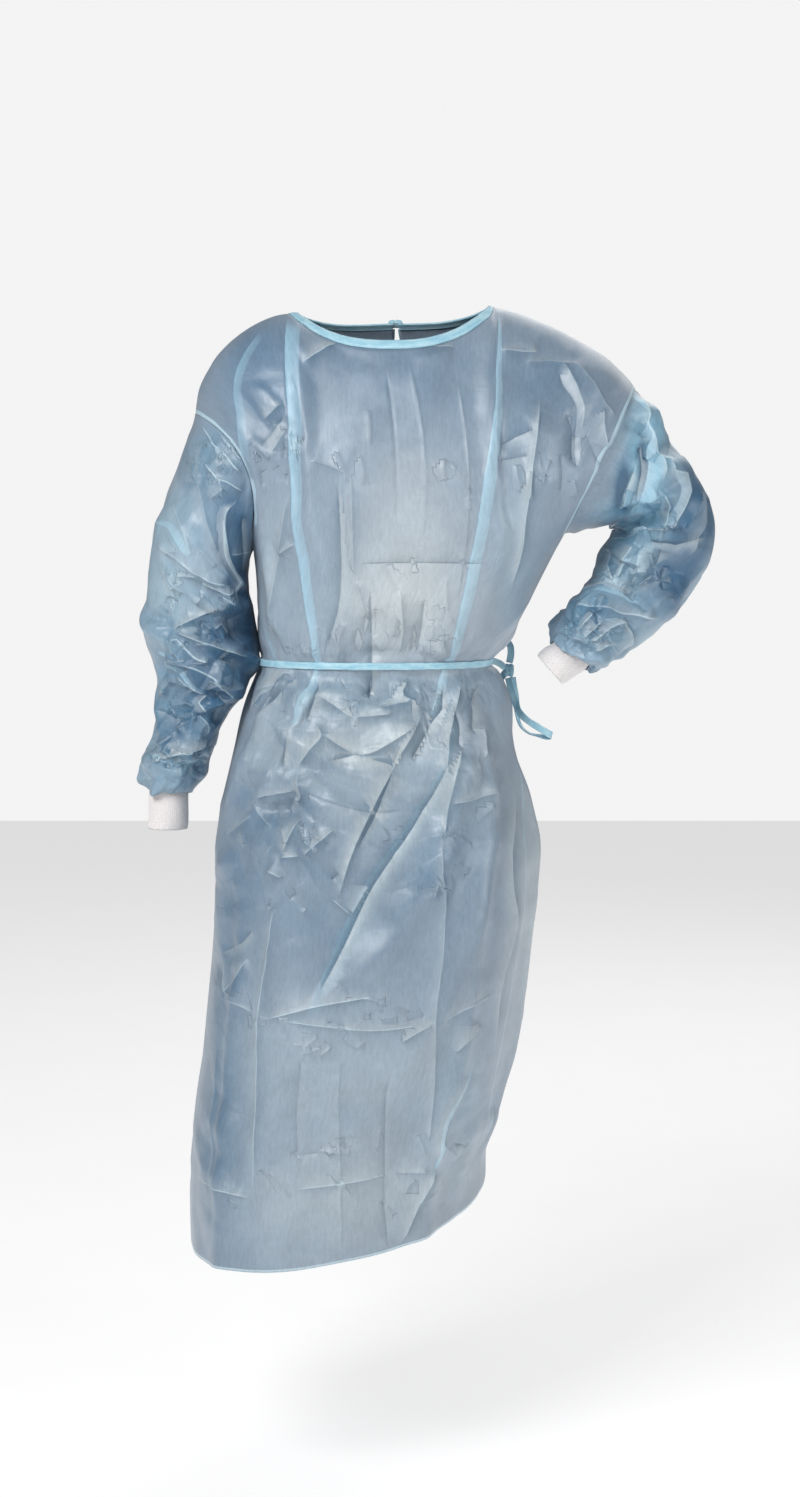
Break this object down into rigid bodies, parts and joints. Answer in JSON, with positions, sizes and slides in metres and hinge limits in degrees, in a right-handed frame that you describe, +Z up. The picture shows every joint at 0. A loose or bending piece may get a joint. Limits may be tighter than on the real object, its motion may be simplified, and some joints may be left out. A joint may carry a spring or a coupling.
{
  "type": "protective gown",
  "caption": "Hollow worn protective gown of thin coated nonwoven: long sleeves with knitted cuffs, bound round neck, lapped open back and tape belt tied at the side, calf length",
  "frame": {"origin": "where the wearer carries the gown: midway between the two points where the neckline crosses the shoulders", "axes": "+Z up, the front faces -Y, +X is the wearer's left"},
  "size_m": [0.7112, 0.4785, 1.1455],
  "materials": {
    "coated_nonwoven": "thin plastic-coated nonwoven, soft sheen, slightly see-through, creased from its packing",
    "ribbed_knit": "white ribbed knit, matt",
    "folded_tape": "folded and stitched strip of the same cloth, denser blue"
  },
  "bodies": {
    "root": {"front_panel": "coated_nonwoven", "back_panel_left": "coated_nonwoven", "back_panel_right": "coated_nonwoven", "sleeve_left": "coated_nonwoven", "sleeve_right": "coated_nonwoven", "cuff_left": "ribbed_knit", "cuff_right": "ribbed_knit", "neck_binding": "folded_tape", "neck_tie_knot": "folded_tape", "neck_tie_left": "folded_tape", "neck_tie_right": "folded_tape", "waist_belt": "folded_tape", "belt_knot": "folded_tape", "belt_loop": "folded_tape", "belt_end_left": "folded_tape", "belt_end_right": "folded_tape"}
  },
  "joints": []
}
